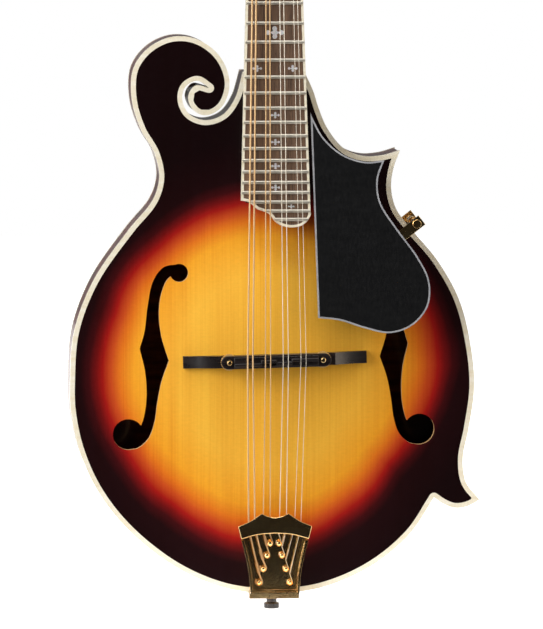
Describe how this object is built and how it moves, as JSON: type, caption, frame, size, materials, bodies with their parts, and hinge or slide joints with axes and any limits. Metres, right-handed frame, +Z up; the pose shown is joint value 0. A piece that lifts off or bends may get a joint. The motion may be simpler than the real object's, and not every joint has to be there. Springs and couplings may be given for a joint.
{
  "type": "mandolin",
  "caption": "F-style mandolin with carved sunburst body, scroll and points, raised fingerboard and pickguard, adjustable bridge, stamped tailpiece and geared tuners.",
  "frame": {"origin": "centreline at the front face of the nut, in the glue plane between neck and fingerboard, where a hanger's yoke carries the head", "axes": "+X to the treble side, -Y out of the front (strings), +Z up along the centreline from body to head"},
  "size_m": [0.2552, 0.106, 0.6676],
  "materials": {
    "spruce": "gloss lacquer, amber sunburst to near black",
    "maple": "gloss lacquer, dark sunburst",
    "inner_wood": "raw wood",
    "rosewood": "oiled",
    "ebony": "satin",
    "ivory_plastic": "gloss",
    "black_plastic": "satin",
    "grey_line": "gloss",
    "pearl": "pearl lustre",
    "bone": "polished",
    "nickel_wire": "drawn",
    "plain_steel": "drawn",
    "bronze_wound": "wound wire",
    "gold_plate": "polished",
    "dark_plastic": "gloss",
    "steel": "plain"
  },
  "bodies": {
    "instrument": {"soundboard": "spruce", "back_plate": "maple", "rim": "maple", "top_binding": "ivory_plastic", "back_binding": "ivory_plastic", "linings": "inner_wood", "tone_bars": "inner_wood", "head_block": "inner_wood", "scroll_block": "inner_wood", "point_blocks": "inner_wood", "tail_block": "inner_wood", "neck": "maple", "truss_rod": "steel", "truss_rod_cover": "black_plastic", "head_overlay": "black_plastic", "head_binding": "ivory_plastic", "fingerboard": "rosewood", "fingerboard_binding": "ivory_plastic", "frets": "nickel_wire", "inlays": "pearl", "nut": "bone", "bridge_foot": "ebony", "bridge_studs": "gold_plate", "tailpiece_base": "gold_plate", "tailpiece_cover": "gold_plate", "end_pin": "dark_plastic", "pickguard": "black_plastic", "pickguard_binding": "grey_line", "pickguard_bracket": "gold_plate", "g_and_d_strings": "bronze_wound", "a_and_e_strings": "plain_steel", "tuner_plates": "gold_plate", "post_bushings": "gold_plate"},
    "saddle": {"bridge_saddle": "ebony"},
    "wheel_bass": {"thumb_wheel_bass": "gold_plate"},
    "wheel_treble": {"thumb_wheel_treble": "gold_plate"},
    "knob_1": {"tuner_shaft_1": "gold_plate", "tuner_button_1": "ivory_plastic"},
    "post_1": {"tuner_post_1": "gold_plate"},
    "knob_2": {"tuner_shaft_2": "gold_plate", "tuner_button_2": "ivory_plastic"},
    "post_2": {"tuner_post_2": "gold_plate"},
    "knob_3": {"tuner_shaft_3": "gold_plate", "tuner_button_3": "ivory_plastic"},
    "post_3": {"tuner_post_3": "gold_plate"},
    "knob_4": {"tuner_shaft_4": "gold_plate", "tuner_button_4": "ivory_plastic"},
    "post_4": {"tuner_post_4": "gold_plate"},
    "knob_5": {"tuner_shaft_5": "gold_plate", "tuner_button_5": "ivory_plastic"},
    "post_5": {"tuner_post_5": "gold_plate"},
    "knob_6": {"tuner_shaft_6": "gold_plate", "tuner_button_6": "ivory_plastic"},
    "post_6": {"tuner_post_6": "gold_plate"},
    "knob_7": {"tuner_shaft_7": "gold_plate", "tuner_button_7": "ivory_plastic"},
    "post_7": {"tuner_post_7": "gold_plate"},
    "knob_8": {"tuner_shaft_8": "gold_plate", "tuner_button_8": "ivory_plastic"},
    "post_8": {"tuner_post_8": "gold_plate"}
  },
  "joints": [
    {"name": "saddle_height", "type": "slide", "parent": "instrument", "child": "saddle", "axis": [0, -1, 0], "range_m": [-0.0014, 0]},
    {"name": "wheel_spin_bass", "type": "hinge", "parent": "saddle", "child": "wheel_bass", "pos_m": [-0.02899, -0.02903, -0.35108], "axis": [0, -1, 0], "range_deg": [-640, 5]},
    {"name": "wheel_spin_treble", "type": "hinge", "parent": "saddle", "child": "wheel_treble", "pos_m": [0.02899, -0.02903, -0.34956], "axis": [0, -1, 0], "range_deg": [-640, 5]},
    {"name": "knob_spin_1", "type": "hinge", "parent": "instrument", "child": "knob_1", "pos_m": [-0.019, 0.03217, 0.03985], "axis": [1, 0, 0], "continuous": true},
    {"name": "post_spin_1", "type": "hinge", "parent": "instrument", "child": "post_1", "pos_m": [-0.019, 0.01216, 0.03902], "axis": [0, -0.9455, 0.3256], "continuous": true},
    {"name": "knob_spin_2", "type": "hinge", "parent": "instrument", "child": "knob_2", "pos_m": [-0.019, 0.03965, 0.0616], "axis": [1, 0, 0], "continuous": true},
    {"name": "post_spin_2", "type": "hinge", "parent": "instrument", "child": "post_2", "pos_m": [-0.019, 0.01964, 0.06077], "axis": [0, -0.9455, 0.3256], "continuous": true},
    {"name": "knob_spin_3", "type": "hinge", "parent": "instrument", "child": "knob_3", "pos_m": [-0.019, 0.04714, 0.08334], "axis": [1, 0, 0], "continuous": true},
    {"name": "post_spin_3", "type": "hinge", "parent": "instrument", "child": "post_3", "pos_m": [-0.019, 0.02713, 0.08251], "axis": [0, -0.9455, 0.3256], "continuous": true},
    {"name": "knob_spin_4", "type": "hinge", "parent": "instrument", "child": "knob_4", "pos_m": [-0.019, 0.05463, 0.10509], "axis": [1, 0, 0], "continuous": true},
    {"name": "post_spin_4", "type": "hinge", "parent": "instrument", "child": "post_4", "pos_m": [-0.019, 0.03462, 0.10426], "axis": [0, -0.9455, 0.3256], "continuous": true},
    {"name": "knob_spin_5", "type": "hinge", "parent": "instrument", "child": "knob_5", "pos_m": [0.019, 0.05463, 0.10509], "axis": [1, 0, 0], "continuous": true},
    {"name": "post_spin_5", "type": "hinge", "parent": "instrument", "child": "post_5", "pos_m": [0.019, 0.03462, 0.10426], "axis": [0, -0.9455, 0.3256], "continuous": true},
    {"name": "knob_spin_6", "type": "hinge", "parent": "instrument", "child": "knob_6", "pos_m": [0.019, 0.04714, 0.08334], "axis": [1, 0, 0], "continuous": true},
    {"name": "post_spin_6", "type": "hinge", "parent": "instrument", "child": "post_6", "pos_m": [0.019, 0.02713, 0.08251], "axis": [0, -0.9455, 0.3256], "continuous": true},
    {"name": "knob_spin_7", "type": "hinge", "parent": "instrument", "child": "knob_7", "pos_m": [0.019, 0.03965, 0.0616], "axis": [1, 0, 0], "continuous": true},
    {"name": "post_spin_7", "type": "hinge", "parent": "instrument", "child": "post_7", "pos_m": [0.019, 0.01964, 0.06077], "axis": [0, -0.9455, 0.3256], "continuous": true},
    {"name": "knob_spin_8", "type": "hinge", "parent": "instrument", "child": "knob_8", "pos_m": [0.019, 0.03217, 0.03985], "axis": [1, 0, 0], "continuous": true},
    {"name": "post_spin_8", "type": "hinge", "parent": "instrument", "child": "post_8", "pos_m": [0.019, 0.01216, 0.03902], "axis": [0, -0.9455, 0.3256], "continuous": true}
  ],
  "couplings": [
    {"joint": "wheel_spin_bass", "follows": "saddle_height", "rad_per_m": 7915.8},
    {"joint": "wheel_spin_treble", "follows": "saddle_height", "rad_per_m": 7915.8},
    {"joint": "post_spin_1", "follows": "knob_spin_1", "ratio": -0.0625},
    {"joint": "post_spin_2", "follows": "knob_spin_2", "ratio": -0.0625},
    {"joint": "post_spin_3", "follows": "knob_spin_3", "ratio": -0.0625},
    {"joint": "post_spin_4", "follows": "knob_spin_4", "ratio": -0.0625},
    {"joint": "post_spin_5", "follows": "knob_spin_5", "ratio": 0.0625},
    {"joint": "post_spin_6", "follows": "knob_spin_6", "ratio": 0.0625},
    {"joint": "post_spin_7", "follows": "knob_spin_7", "ratio": 0.0625},
    {"joint": "post_spin_8", "follows": "knob_spin_8", "ratio": 0.0625}
  ]
}
